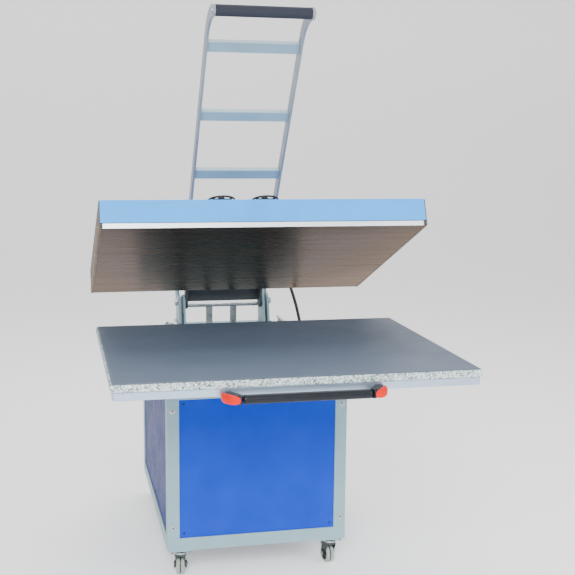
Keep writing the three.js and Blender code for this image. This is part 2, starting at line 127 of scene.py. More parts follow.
def head_way(axis):
    return HEAD_TILT.to_3x3() @ axis


def facing(point, axis, spin=0.0):
    """A frame at point whose own Z runs along axis."""
    turn = axis.to_track_quat("Z", "Y").to_matrix().to_4x4()
    return Matrix.Translation(point) @ turn @ Matrix.Rotation(spin, 4, "Z")


# ---- outlines and profiles, in millimetres ----
def disc(radius, height):
    """A plain disc's (radius, height) profile."""
    return [(0, 0), (radius, 0), (radius, height), (0, height)]


def mirrored(half):
    """A profile and its reflection through its own middle."""
    return half + [(radius, -height) for radius, height in reversed(half)]


def hexagon(radius):
    turns = (k * math.pi / 3 for k in range(6))
    return [(radius * math.cos(a), radius * math.sin(a)) for a in turns]


def link(name, data):
    """A new object in the scene."""
    made = bpy.data.objects.new(name, data)
    bpy.context.scene.collection.objects.link(made)
    return made


# ---- mesh building ----
class Piece:
    """One piece's mesh, gathered from turned, extruded and swept shapes."""

    def __init__(self, name):
        self.name = name
        self.bm = bmesh.new()

    def loft(self, rings, closed_ends=True, around=True):
        """Joins rings of points with quads, and caps both ends."""
        rows = [[self.bm.verts.new(p) for p in ring] for ring in rings]
        for low, high in zip(rows, rows[1:]):
            count = len(low)
            for i in range(count if around else count - 1):
                j = (i + 1) % count
                self.bm.faces.new((low[i], low[j], high[j], high[i]))
        if closed_ends:
            self.bm.faces.new(rows[0][::-1])
            self.bm.faces.new(rows[-1])
        return rows

    def turned(self, profile, place, segments=24):
        """Turns a (radius, height) profile in millimetres about place's Z. Zero radii close it."""
        turns = [2 * math.pi * i / segments for i in range(segments)]
        rows = []
        for radius, height in profile:
            if radius == 0:
                rows.append([self.bm.verts.new(place @ Vector((0, 0, height / 1000)))])
                continue
            spots = (Vector((radius * math.cos(a), radius * math.sin(a), height)) for a in turns)
            rows.append([self.bm.verts.new(place @ (spot / 1000)) for spot in spots])
        for low, high in zip(rows, rows[1:]):
            for i in range(segments):
                j = (i + 1) % segments
                corners = [low[0]] if len(low) == 1 else [low[i], low[j]]
                corners += [high[0]] if len(high) == 1 else [high[j], high[i]]
                if len(corners) > 2:
                    self.bm.faces.new(corners)
        return self

    def prism(self, outline, low, high, place, soft=0.0):
        """Raises a millimetre outline from low to high along place's Z, with its edges softened."""
        middle = Vector((sum(u for u, _ in outline), sum(v for _, v in outline))) / len(outline)

        def ring(height, inset):
            points = []
            for u, v in outline:
                spot = Vector((u, v))
                reach = (spot - middle).length
                spot = middle + (spot - middle) * max(reach - inset, 0) / max(reach, 1e-6)
                points.append(place @ Vector((spot.x / 1000, spot.y / 1000, height / 1000)))
            return points

        levels = [(low, soft), (low + soft * 0.7, 0), (high - soft * 0.7, 0), (high, soft)]
        if not soft:
            levels = [(low, 0), (high, 0)]
        self.loft([ring(height, inset) for height, inset in levels])
        return self

    def swept(self, path, radius, sides=12, radii=None):
        """A round tube along points in metres."""
        rings = []
        side = None
        for i, point in enumerate(path):
            way = (path[min(i + 1, len(path) - 1)] - path[max(i - 1, 0)]).normalized()
            if side is None:
                side = way.orthogonal().normalized()
            side = (side - way * side.dot(way)).normalized()
            up = way.cross(side)
            reach = (radii[i] if radii else radius) / 1000
            rings.append([
                point + reach * (math.cos(a) * side + math.sin(a) * up)
                for a in (2 * math.pi * k / sides for k in range(sides))
            ])
        self.loft(rings)
        return self

    def hex_bolt(self, point, axis, across=13.0, height=6.0, washer=True, spin=0.0):
        """A hexagon head on its washer, seated at point."""
        place = facing(point, axis, spin)
        base = 0.0
        if washer:
            base = 1.2
            self.turned(disc(across * 0.92, base), place, 28)
        self.prism(hexagon(across / math.sqrt(3)), base, base + height, place, soft=0.9)
        return self

    def button_bolt(self, point, axis, radius=6.5, height=3.6, washer=0.0):
        """A round head with a drive recess, on a washer if one is given."""
        place = facing(point, axis)
        if washer:
            self.turned(disc(washer, 1.0), place, 28)
        base = 1.0 if washer else 0.0
        self.turned([
            (0, base), (radius, base), (radius, base + 0.3 * height),
            (0.9 * radius, base + 0.7 * height), (0.62 * radius, base + height),
            (0.42 * radius, base + height), (0.42 * radius, base + 0.4 * height),
            (0, base + 0.4 * height),
        ], place, 24)
        return self

    def mesh(self, look):
        """Hands the gathered shapes over as a smooth mesh with a finish, or the finish so named."""
        mesh = bpy.data.meshes.new(self.name)
        self.bm.to_mesh(mesh)
        self.bm.free()
        mesh.shade_smooth()
        mesh.materials.append(MADE[look] if isinstance(look, str) else look)
        return mesh

    def done(self, look, body, slot, sharp=35.0):
        """Makes the object, gives it its finish and lets it ride on its body."""
        bmesh.ops.remove_doubles(self.bm, verts=self.bm.verts, dist=1e-7)
        bmesh.ops.recalc_face_normals(self.bm, faces=self.bm.faces)
        mesh = self.mesh(look)
        mesh.set_sharp_from_angle(angle=math.radians(sharp))
        piece = link(self.name, mesh)
        if body:
            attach(piece, body)
        return piece


def rounded(width, height, corner, steps=4, centre=(0.0, 0.0)):
    """A rounded rectangle's outline about centre."""
    points = []
    for k, (su, sv) in enumerate(((1, 1), (-1, 1), (-1, -1), (1, -1))):
        cu = centre[0] + su * (width / 2 - corner)
        cv = centre[1] + sv * (height / 2 - corner)
        for i in range(steps + 1):
            a = (k + i / steps) * math.pi / 2
            points.append((cu + corner * math.cos(a), cv + corner * math.sin(a)))
    return points


def route(points, per_span=6):
    """A smooth centripetal curve through points, as a list of points."""
    ends = [2 * points[0] - points[1], *points, 2 * points[-1] - points[-2]]
    line = []
    for a, b, c, d in zip(ends, ends[1:], ends[2:], ends[3:]):
        t1 = (b - a).length ** 0.5
        t2 = t1 + (c - b).length ** 0.5
        t3 = t2 + (d - c).length ** 0.5
        for k in range(per_span):
            t = t1 + (t2 - t1) * k / per_span
            ab = a.lerp(b, t / t1)
            bc = b.lerp(c, (t - t1) / (t2 - t1))
            cd = c.lerp(d, (t - t2) / (t3 - t2))
            abc = ab.lerp(bc, t / t2)
            bcd = bc.lerp(cd, (t - t1) / (t3 - t1))
            line.append(abc.lerp(bcd, (t - t1) / (t2 - t1)))
    return [*line, points[-1].copy()]


# ---- finishes ----
def linear(colour):
    """A display colour as the linear one a shader takes."""
    return [v / 12.92 if v <= 0.04045 else ((v + 0.055) / 1.055) ** 2.4 for v in colour[:3]]


def shade(colour, factor):
    return [min(v * factor, 1.0) for v in colour]


class Finish:
    """A procedural material on the object's own coordinates, in metres."""

    def __init__(self, name, colour, roughness, metallic=0.0, **more):
        self.material = bpy.data.materials.new(name)
        self.material.use_nodes = True
        self.tree = self.material.node_tree
        self.shader = self.tree.nodes["Principled BSDF"]
        self.colour = linear(colour)
        self.put("Base Color", (*self.colour, 1))
        self.put("Roughness", roughness)
        self.put("Metallic", metallic)
        for key, value in more.items():
            self.put(key.replace("_", " "), value)
        self.coords = self.tree.nodes.new("ShaderNodeTexCoord").outputs["Object"]
        self.normal = None

    def put(self, name, value):
        socket = self.shader.inputs[name]
        if isinstance(value, bpy.types.NodeSocket):
            self.tree.links.new(value, socket)
        else:
            socket.default_value = value

    def node(self, kind, settings=None, **inputs):
        node = self.tree.nodes.new(kind)
        for key, value in (settings or {}).items():
            setattr(node, key, value)
        for key, value in inputs.items():
            socket = node.inputs[key.replace("_", " ")]
            if isinstance(value, bpy.types.NodeSocket):
                self.tree.links.new(value, socket)
            else:
                socket.default_value = value
        return node

    def stretched(self, x, y, z):
        return self.node("ShaderNodeMapping", Vector=self.coords, Scale=(x, y, z)).outputs[0]

    def grain(self, scale, detail=4.0, vector=None, distortion=0.0, roughness=0.55):
        """Noise, from 0 to 1, with scale features to the metre."""
        return self.node(
            "ShaderNodeTexNoise", Vector=vector or self.coords, Scale=scale, Detail=detail,
            Distortion=distortion, Roughness=roughness,
        ).outputs["Fac"]

    def cells(self, scale, vector=None, feature="F1"):
        settings = {"feature": feature}
        return self.node(
            "ShaderNodeTexVoronoi", settings, Vector=vector or self.coords, Scale=scale
        ).outputs["Distance"]

    def spread(self, value, low, high, to_low, to_high):
        return self.node(
            "ShaderNodeMapRange", {"clamp": True}, Value=value, **{"From_Min": low},
            **{"From_Max": high}, **{"To_Min": to_low}, **{"To_Max": to_high},
        ).outputs["Result"]

    def ramp(self, value, stops):
        """Colours along a value, as (place, linear colour) stops."""
        node = self.node("ShaderNodeValToRGB", Fac=value)
        ramp = node.color_ramp
        while len(ramp.elements) < len(stops):
            ramp.elements.new(0.5)
        for element, (place, colour) in zip(ramp.elements, stops):
            element.position = place
            element.color = (*colour, 1)
        return node.outputs["Color"]

    def tint(self, value, low, high, stops=(0.3, 0.7)):
        """The finish's own colour along a value, shaded by low and then by high."""
        tones = shade(self.colour, low), shade(self.colour, high)
        return self.ramp(value, list(zip(stops, tones)))

    def blend(self, factor, a, b):
        node = self.node("ShaderNodeMix", {"data_type": "RGBA"})
        for socket, value in ((node.inputs[0], factor), (node.inputs[6], a), (node.inputs[7], b)):
            if isinstance(value, bpy.types.NodeSocket):
                self.tree.links.new(value, socket)
            elif isinstance(value, (int, float)):
                socket.default_value = value
            else:
                socket.default_value = (*value, 1)
        return node.outputs[2]

    def bump(self, height, strength, depth):
        """Adds a bump of depth metres on top of those before it."""
        inputs = {"Height": height, "Strength": strength, "Distance": depth}
        if self.normal:
            inputs["Normal"] = self.normal
        self.normal = self.node("ShaderNodeBump", **inputs).outputs["Normal"]
        self.put("Normal", self.normal)

    def axis(self, name):
        return self.node("ShaderNodeSeparateXYZ", Vector=self.coords).outputs[name]

    def math(self, operation, a, b=0.0, c=0.0):
        node = self.node("ShaderNodeMath", {"operation": operation})
        for socket, value in zip(node.inputs, (a, b, c)):
            if isinstance(value, bpy.types.NodeSocket):
                self.tree.links.new(value, socket)
            else:
                socket.default_value = value
        return node.outputs[0]


def powder_coat(name, colour, roughness=0.42, peel=0.12, dirt=0.5, **more):
    """Sprayed and baked paint: orange peel, faint mottling, dust and fine scratches."""
    f = Finish(name, colour, roughness, **more)
    mottle = f.tint(f.grain(7, 3), 0.9, 1.06)
    grime = f.spread(f.grain(16, 8, roughness=0.7), 0.55, 0.8, 0, dirt * 0.35)
    dusty = f.blend(grime, mottle, shade(f.colour, 0.62))
    scratch = f.grain(1.0, 3, vector=f.stretched(30, 900, 260), distortion=0.4)
    marks = f.spread(scratch, 0.69, 0.74, 0, 0.28 * dirt)
    f.put("Base Color", f.blend(marks, dusty, [min(v * 1.3 + 0.05, 1) for v in f.colour]))
    f.put("Roughness", f.spread(f.grain(22, 6), 0.25, 0.8, roughness * 0.8, roughness * 1.25))
    f.bump(f.grain(620, 2), peel, 0.0006)
    f.bump(f.grain(3.5, 2), 0.04, 0.004)
    return f.material


def brushed_metal(name, colour, roughness, along, contrast=0.14, **more):
    """Metal with a fine directional grain, along X, Y or Z."""
    f = Finish(name, colour, roughness, metallic=0.92, **more)
    lay = {"X": (6, 700, 700), "Y": (700, 6, 700), "Z": (700, 700, 6)}[along]
    lines = f.grain(1.0, 7, vector=f.stretched(*lay), roughness=0.7)
    streak = f.tint(lines, 1 - contrast, 1 + contrast, (0.32, 0.68))
    cloud = f.spread(f.grain(5, 4), 0.3, 0.75, 0, 0.35)
    f.put("Base Color", f.blend(cloud, streak, shade(f.colour, 0.8)))
    f.put("Roughness", f.spread(lines, 0.25, 0.75, roughness * 0.75, roughness * 1.3))
    f.bump(lines, 0.25, 0.00025)
    return f.material


def plated_steel(name, colour, roughness=0.34):
    """Zinc plate: patchy spangle and handling marks."""
    f = Finish(name, colour, roughness, metallic=0.9)
    tone = f.tint(f.cells(170), 0.86, 1.08, (0.1, 0.75))
    stain = f.spread(f.grain(30, 6), 0.52, 0.75, 0, 0.4)
    f.put("Base Color", f.blend(stain, tone, shade(f.colour, 0.62)))
    f.put("Roughness", f.spread(f.grain(90, 5), 0.3, 0.75, roughness * 0.7, roughness * 1.5))
    f.bump(f.grain(500, 3), 0.12, 0.0003)
    return f.material


def moulded_plastic(name, colour, roughness, texture=0.15, **more):
    """Moulded plastic with a spark-eroded texture and slight tonal drift."""
    f = Finish(name, colour, roughness, **more)
    f.put("Base Color", f.tint(f.grain(12, 4), 0.82, 1.12, (0.3, 0.75)))
    f.put("Roughness", f.spread(f.grain(60, 5), 0.3, 0.7, roughness * 0.8, roughness * 1.2))
    f.bump(f.cells(900, feature="SMOOTH_F1"), texture, 0.0003)
    return f.material


def soft_foam(name, colour, roughness=0.85):
    """Skinless closed-cell foam, as on a grip."""
    f = Finish(name, colour, roughness)
    pores = f.cells(650)
    f.put("Base Color", f.tint(pores, 0.45, 1.3, (0.05, 0.5)))
    f.bump(pores, 0.6, 0.0008)
    f.bump(f.grain(25, 3), 0.2, 0.003)
    return f.material


def speckled_foam(name, colour, fleck):
    """Rebonded silicone foam: pale crumbs mixed with grey ones, with pores between them."""
    f = Finish(name, colour, 0.92, Specular_IOR_Level=0.2)
    dark = linear(fleck)
    tones = []
    for scale in (230, 430):
        crumbs = f.node("ShaderNodeTexVoronoi", Vector=f.coords, Scale=float(scale))
        tones.append(f.ramp(crumbs.outputs["Color"], [
            (0.0, shade(dark, 0.8)), (0.34, shade(dark, 1.3)), (0.4, shade(f.colour, 0.55)),
            (0.48, shade(f.colour, 0.9)), (1.0, shade(f.colour, 1.12)),
        ]))
        f.bump(crumbs.outputs["Distance"], 0.6, 0.0012)
    f.put("Base Color", f.blend(0.45, tones[0], tones[1]))
    f.bump(f.grain(700, 3), 0.5, 0.0007)
    return f.material


def coated_cloth(name, colour, roughness=0.5):
    """A tight woven cloth under a smooth coating, with a few specks and shallow press marks."""
    f = Finish(name, colour, roughness, Specular_IOR_Level=0.32)
    base = f.tint(f.grain(3.2, 6), 0.92, 1.07, (0.25, 0.75))
    threads = f.grain(1.0, 2, vector=f.stretched(900, 900, 1))
    woven = f.blend(f.spread(threads, 0.3, 0.7, 0, 0.3), base, shade(f.colour, 0.8))
    specks = f.spread(f.cells(55), 0.06, 0.035, 0, 0.35)
    f.put("Base Color", f.blend(specks, woven, shade(f.colour, 2.0)))
    f.put("Roughness", f.spread(f.grain(6, 7), 0.3, 0.75, roughness * 0.88, roughness * 1.15))
    for lay in ((1100, 140, 1), (140, 1100, 1)):
        f.bump(f.grain(1.0, 2, vector=f.stretched(*lay)), 0.1, 0.0002)
    return f.material


def heated_plate(name, colour, dark):
    """Brushed plate with painted shade and reflection: darkest across its middle as painted shade, tan at
    its ends and its rear as painted reflection of a brown floor.
    """
    f = Finish(
        name, colour, 0.3, metallic=0.75, Specular_IOR_Level=0.05,
        Specular_Tint=(0.64, 0.58, 0.55, 1),
    )
    x, y = f.axis("X"), f.axis("Y")
    wander = f.grain(1.0, 4, vector=f.stretched(2.4, 3.0, 1.0))
    ends = f.math("MULTIPLY_ADD", f.math("ABSOLUTE", f.math("SUBTRACT", x, 0.02)), 1.35, -0.2)
    rear = f.math("MULTIPLY_ADD", y, 0.65, f.math("MULTIPLY", x, 0.45))
    # painted light: painted shade across the middle, painted reflection of a brown floor towards the ends
    # and the rear
    reflection_and_shade = f.math("ADD", f.math("ADD", ends, rear), f.math("MULTIPLY_ADD", wander, 0.5, -0.25))
    low, high = linear(dark), f.colour
    tone = f.ramp(reflection_and_shade, [
        (0.0, low), (0.3, shade(low, 1.35)), (0.55, shade(high, 0.55)), (0.8, shade(high, 0.9)),
        (1.0, high),
    ])
    lines = f.grain(1.0, 5, vector=f.stretched(1.4, 48, 48), roughness=0.5)
    worked = f.blend(f.spread(lines, 0.45, 0.72, 0, 0.45), tone, shade(high, 1.05))
    bands = f.grain(1.0, 3, vector=f.stretched(0.9, 30, 30))
    f.put("Base Color", f.blend(f.spread(bands, 0.5, 0.7, 0, 0.5), worked, shade(low, 0.8)))
    f.put("Roughness", f.spread(lines, 0.25, 0.75, 0.2, 0.38))
    f.bump(lines, 0.12, 0.0003)
    return f.material


def paint_floor(name, colour, glow):
    """The studio floor's flat pale paint."""
    f = Finish(name, colour, 0.8)
    f.put("Base Color", f.tint(f.grain(0.6, 2), 0.985, 1.0))
    f.put("Emission Color", (1, 1, 1, 1))
    f.put("Emission Strength", glow)
    return f.material


MADE = {}  # every shared finish by its name, filled by the finishes step


# ---- what a user would change ----
def colour_property(label, description, default):
    return FloatVectorProperty(
        name=label, description=description, subtype="COLOR", size=3, min=0, max=1, default=default
    )


def size_property(label, description, default, low, high):
    return FloatProperty(
        name=label, description=description, default=default, min=low, max=high,
        unit="LENGTH", subtype="DISTANCE", precision=4,
    )


class CabinetSettings(bpy.types.PropertyGroup):
    """Paint and fixings of the cabinet and the slide frame."""

    frame_colour: colour_property("Frame", "Powder coat on the tubes", (0.53, 0.66, 0.69))
    panel_colour: colour_property("Panels", "Gloss paint on the sheet panels", (0.12, 0.265, 0.74))
    bolt_radius: size_property("Bolt head", "Radius of the post bolts' heads", 0.0068, 0.004, 0.01)
    screw_radius: size_property("Screw head", "Radius of the panel screws", 0.0034, 0.002, 0.007)


class BedSettings(bpy.types.PropertyGroup):
    """The lower platen's plate, foam and mat."""

    plate_colour: colour_property("Plate", "Milled aluminium", (0.74, 0.82, 0.91))
    foam_colour: colour_property("Foam", "Ground colour of the foam", (0.86, 0.92, 0.92))
    fleck_colour: colour_property("Flecks", "Crumbs in the foam", (0.26, 0.31, 0.32))
    mat_colour: colour_property("Mat", "Coated cloth on top", (0.34, 0.39, 0.46))
    edge_wander: size_property("Cut edge", "How far the foam's cut edge wanders", 0.0008, 0, 0.002)


class HandleSettings(bpy.types.PropertyGroup):
    """The bed's pull handle."""

    tube_colour: colour_property("Tube", "Dark plastic sleeve", (0.10, 0.115, 0.14))
    cap_colour: colour_property("Caps", "Outer end caps", (0.88, 0.06, 0.02))


class HeadSettings(bpy.types.PropertyGroup):
    """The heated head."""

    cover_colour: colour_property("Cover", "Powder coat on the cover", (0.22, 0.64, 1.0))
    # the heating plate's two colours are painted light: a tan painted reflection and a dark painted shade
    plate_colour: colour_property("Plate", "Palest painted reflection on the heating plate", (0.45, 0.37, 0.30))
    plate_dark: colour_property("Plate, painted shade", "Darkest painted shade on the heating plate", (0.26, 0.235, 0.23))
    edge_colour: colour_property("Plate edge", "Machined rim of the plate", (0.95, 0.97, 0.98))


class LeverSettings(bpy.types.PropertyGroup):
    """The lever, its grip and its pins."""

    bar_colour: colour_property("Bars", "Paint on the bars", (0.51, 0.54, 0.58))
    rung_colour: colour_property("Rungs", "Paint on the rungs", (0.53, 0.64, 0.70))
    grip_colour: colour_property("Grip", "Foam of the grip", (0.12, 0.135, 0.18))
    grip_radius: size_property("Grip radius", "Outside radius of the foam", 0.0178, 0.012, 0.018)


class CasterSettings(bpy.types.PropertyGroup):
    """Wheels and forks."""

    tread_colour: colour_property("Tread", "Grey rubber", (0.56, 0.60, 0.57))
    fork_colour: colour_property("Fork", "Dark plated steel", (0.30, 0.33, 0.32))
    segments: IntProperty(
        name="Segments", description="Steps round a wheel", default=44, min=16, max=96
    )


class CableSettings(bpy.types.PropertyGroup):
    """The head's supply cable."""

    colour: colour_property("Sleeve", "Rubber sleeve", (0.10, 0.10, 0.11))
    diameter: size_property("Diameter", "Outside diameter", 0.012, 0.006, 0.014)


class StageSettings(bpy.types.PropertyGroup):
    """Floor, light and camera."""

    floor_colour: colour_property("Floor", "Floor and backdrop", (0.97, 0.97, 0.97))
    floor_glow: FloatProperty(
        name="Floor glow", description="Light the pale floor gives off", default=0.45, min=0, max=2
    )
    key_power: FloatProperty(
        name="Key light", description="Power of the large front light", default=330, min=0,
        unit="POWER",
    )
    sky: FloatProperty(
        name="Sky", description="Strength of the even light all round", default=0.6, min=0, max=4
    )
    lens: FloatProperty(
        name="Lens", description="Focal length on a 36 mm sensor", default=65.39, min=10,
        unit="CAMERA",
    )


SETTINGS = {
    "cabinet": CabinetSettings,
    "bed": BedSettings,
    "handle": HandleSettings,
    "head": HeadSettings,
    "lever": LeverSettings,
    "casters": CasterSettings,
    "cable": CableSettings,
    "stage": StageSettings,
}


def settings(group):
    return getattr(bpy.context.scene, f"heat_press_{group}")


def dress(names, look):
    """Puts a finish on CAD nodes."""
    for name in names:
        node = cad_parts[name]
        node.data.materials.clear()
        node.data.materials.append(MADE[look])


def both(pattern):
    return [pattern.format(name) for name, _ in SIDES]


# ---- stage ----
class HEATPRESS_OT_stage(bpy.types.Operator):
    """Make the floor, the backdrop, the lights and the camera"""

    bl_idname = "heatpress.stage"
    bl_label = "Stage"

    def execute(self, context):
        values = settings("stage")
        self.camera(context, values.lens)
        self.backdrop(values.floor_colour, values.floor_glow)
        self.lights(context, values.sky, values.key_power)
        return {"FINISHED"}

    def camera(self, context, lens):
        yaw, pitch, roll = (math.radians(a) for a in CAMERA_TURNS)
        ahead = Vector((
            math.sin(yaw) * math.cos(pitch), math.cos(yaw) * math.cos(pitch), -math.sin(pitch),
        ))
        level = Vector((math.cos(yaw), -math.sin(yaw), 0))
        upright = level.cross(ahead)
        right = math.cos(roll) * level + math.sin(roll) * upright
        up = math.cos(roll) * upright - math.sin(roll) * level
        turn = Matrix((right, up, -ahead)).transposed().to_4x4()
        data = bpy.data.cameras.new("camera")
        data.lens = lens
        data.clip_end = 60
        camera = link("camera", data)
        camera.matrix_world = Matrix.Translation(at(*CAMERA_PLACE)) @ turn
        context.scene.camera = camera

    def backdrop(self, colour, glow):
        """A floor that bends up into a wall, in metres."""
        reach, rise, bend, half_width = 9.0, 7.0, 2.5, 12.0
        line = [(-reach, 0.0), (reach - bend, 0.0)]
        line += [
            (reach - bend + bend * math.sin(a), bend - bend * math.cos(a))
            for a in (math.pi / 2 * k / 12 for k in range(1, 13))
        ]
        line.append((reach, rise))
        piece = Piece("backdrop")
        rows = [[Vector((x, y, z)) for x in (-half_width, half_width)] for y, z in line]
        piece.loft(rows, closed_ends=False, around=False)
        floor = link("backdrop", piece.mesh(paint_floor("floor_paint", colour, glow)))

    def lights(self, context, sky, key_power):
        world = bpy.data.worlds.new("studio")
        world.use_nodes = True
        background = world.node_tree.nodes["Background"]
        background.inputs["Color"].default_value = (1, 1, 1, 1)
        background.inputs["Strength"].default_value = sky
        context.scene.world = world
        for name, place, target, size, share in LAMPS:
            data = bpy.data.lights.new(name, "AREA")
            data.size = size
            data.energy = key_power * share
            lamp = link(name, data)
            lamp.location = place
            way = Vector(target) - Vector(place)
            lamp.rotation_euler = way.to_track_quat("-Z", "Y").to_euler()


# ---- finishes on the carried-over nodes ----
class HEATPRESS_OT_finishes(bpy.types.Operator):
    """Mix the paints and metals, and put them on the frame's own parts"""

    bl_idname = "heatpress.finishes"
    bl_label = "Finishes"

    def execute(self, context):
        cabinet, bed = settings("cabinet"), settings("bed")
        head, lever, casters = settings("head"), settings("lever"), settings("casters")
        handle = settings("handle")
        MADE.update(
            frame=powder_coat("frame_paint", cabinet.frame_colour),
            panel=powder_coat(
                "panel_paint", cabinet.panel_colour, 0.34, 0.04, 0.12, Specular_IOR_Level=0.0,
            ),
            # painted shade: the side panels get the front panel paint darkened to 0.62
            side_panel=powder_coat(
                "side_panel_paint", shade(cabinet.panel_colour, 0.62), 0.3, 0.03, 0.0,
                Specular_IOR_Level=0.007,
            ),
            cover=powder_coat(
                "cover_paint", head.cover_colour, 0.4, 0.06, 0.12, Specular_IOR_Level=0.15,
            ),
            # painted reflection and shade: the head's sides are tan for a brown floor's reflection and
            # their shade
            side_cover=powder_coat(
                "side_cover_paint", (0.42, 0.35, 0.28), 0.5, 0.1, 0.5, Specular_IOR_Level=0.15,
            ),
            bars=powder_coat("bar_paint", lever.bar_colour, 0.34, 0.1, 0.5),
            rungs=powder_coat("rung_paint", lever.rung_colour, 0.34, 0.1, 0.4),
            # painted shade: the hinge yoke is painted dark grey for the head's shadow on it
            yoke=powder_coat("yoke_painted_shade", (0.25, 0.27, 0.28), 0.5, 0.15, 0.5),
            plate=brushed_metal("milled_aluminium", bed.plate_colour, 0.34, "X", 0.07),
            # the heating plate's colours are painted reflection and painted shade
            heated=heated_plate("heated_plate", head.plate_colour, head.plate_dark),
            rim=brushed_metal("machined_rim", head.edge_colour, 0.5, "X", 0.04),
            zinc=plated_steel("zinc_plate", (0.72, 0.74, 0.75)),
            bright=brushed_metal("bright_steel", (0.80, 0.82, 0.84), 0.22, "Y", 0.06),
            dark_steel=plated_steel("dark_plate", casters.fork_colour, 0.4),
            enamel=moulded_plastic("black_enamel", (0.07, 0.07, 0.08), 0.22, 0.04, Coat_Weight=0.5),
            black=moulded_plastic("black_plastic", (0.11, 0.115, 0.125), 0.42),
            sleeve=moulded_plastic(
                "handle_sleeve", handle.tube_colour, 0.42, 0.03, Specular_IOR_Level=0.25,
            ),
            red=moulded_plastic(
                "red_plastic", handle.cap_colour, 0.4, 0.05, Specular_IOR_Level=0.12,
            ),
            rubber=soft_foam("tread_rubber", casters.tread_colour, 0.62),
            wool=soft_foam("insulation_board", (0.86, 0.83, 0.76), 0.95),
        )
        dressed = {
            "frame": [
                "bottom_frame", "top_frame", "base_frame", "panel_top", "pressure_beam", "control_box",
                *both("post_front_{}"), *both("post_rear_{}"), *both("tower_{}"), *both("arm_{}"),
            ],
            "panel": ["panel_front", "panel_rear"],
            "side_panel": both("panel_{}"),
            "yoke": ["hinge_yoke"],
            "cover": ["head_cover"],
            "bars": both("lever_bar_{}"),
            "rungs": ["rung_lower", "rung_middle", "rung_upper"],
            "plate": ["lower_plate"],
            "heated": ["heating_plate"],
            "wool": ["insulation"],
            "zinc": ["rear_brace", *both("link_{}")],
            "bright": [
                *both("slide_outer_{}"), *both("slide_middle_{}"), *both("slide_inner_{}"),
                *both("strut_rod_{}"),
            ],
            "enamel": both("strut_cylinder_{}"),
            "dark_steel": [
                *both("caster_brake_{}"), *both("caster_fork_front_{}"), *both("caster_fork_rear_{}"),
            ],
        }
        for look, names in dressed.items():
            dress(names, look)
        return {"FINISHED"}


# ---- bed ----
class HEATPRESS_OT_bed(bpy.types.Operator):
    """Make the foam and the mat on the lower platen"""

    bl_idname = "heatpress.bed"
    bl_label = "Bed"

    def execute(self, context):
        values = settings("bed")
        foam_finish = speckled_foam("speckled_foam", values.foam_colour, values.fleck_colour)
        foam = self.board(
            "bed_foam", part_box("foam_pad"), foam_finish, "pad_foam", values.edge_wander, 0.004
        )
        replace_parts(foam, "foam_pad")
        low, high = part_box("top_mat")
        mat = self.board(
            "bed_mat", (low, high), coated_cloth("coated_cloth", values.mat_colour), "mat_cloth",
            0.0003, 0.001,
        )
        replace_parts(mat, "top_mat")
        return {"FINISHED"}

    def board(self, name, limits, material, slot, wander, soft):
        """A flat board whose cut edges wander a little and whose arrises are soft."""
        low, high = limits
        middle = (low + high) / 2
        half = (high - low) / 2
        quarters = ((1, 1), (-1, 1), (-1, -1), (1, -1))
        corners = [Vector((u * half.x, v * half.y)) for u, v in quarters]
        steps = 90
        outline = [
            here.lerp(there, i / steps)
            for here, there in zip(corners, corners[1:] + corners[:1]) for i in range(steps)
        ]

        near = 1e-6

        def trimmed(value, limit, cut):
            """A coordinate pulled in by cut where it lies on the board's edge."""
            return value - math.copysign(cut, value) if abs(value) > limit - near else value

        rings = []
        levels = [(0, soft), (0.12, soft * 0.3), (0.3, 0), (0.7, 0), (0.88, soft * 0.3), (1, soft)]
        for share, inset in levels:
            ring = []
            for spot in outline:
                jitter = noise.noise(Vector((spot.x * 38, spot.y * 38, share * 2.2)))
                cut = inset * 0.35 + wander * (1 + jitter) / 2
                x, y = trimmed(spot.x, half.x, cut), trimmed(spot.y, half.y, cut)
                ring.append(Vector((middle.x + x, middle.y + y, low.z + share * 2 * half.z)))
            rings.append(ring)

        def drawn_in(ring):
            """The same ring 6 mm further in, which keeps the board's faces flat."""
            scale = Vector((1 - 0.006 / half.x, 1 - 0.006 / half.y))
            return [
                Vector((*(middle.xy + (spot.xy - middle.xy) * scale), spot.z)) for spot in ring
            ]

        piece = Piece(name)
        piece.loft([drawn_in(rings[0]), *rings, drawn_in(rings[-1])])
        return piece.done(material, "drawer", slot, sharp=50)


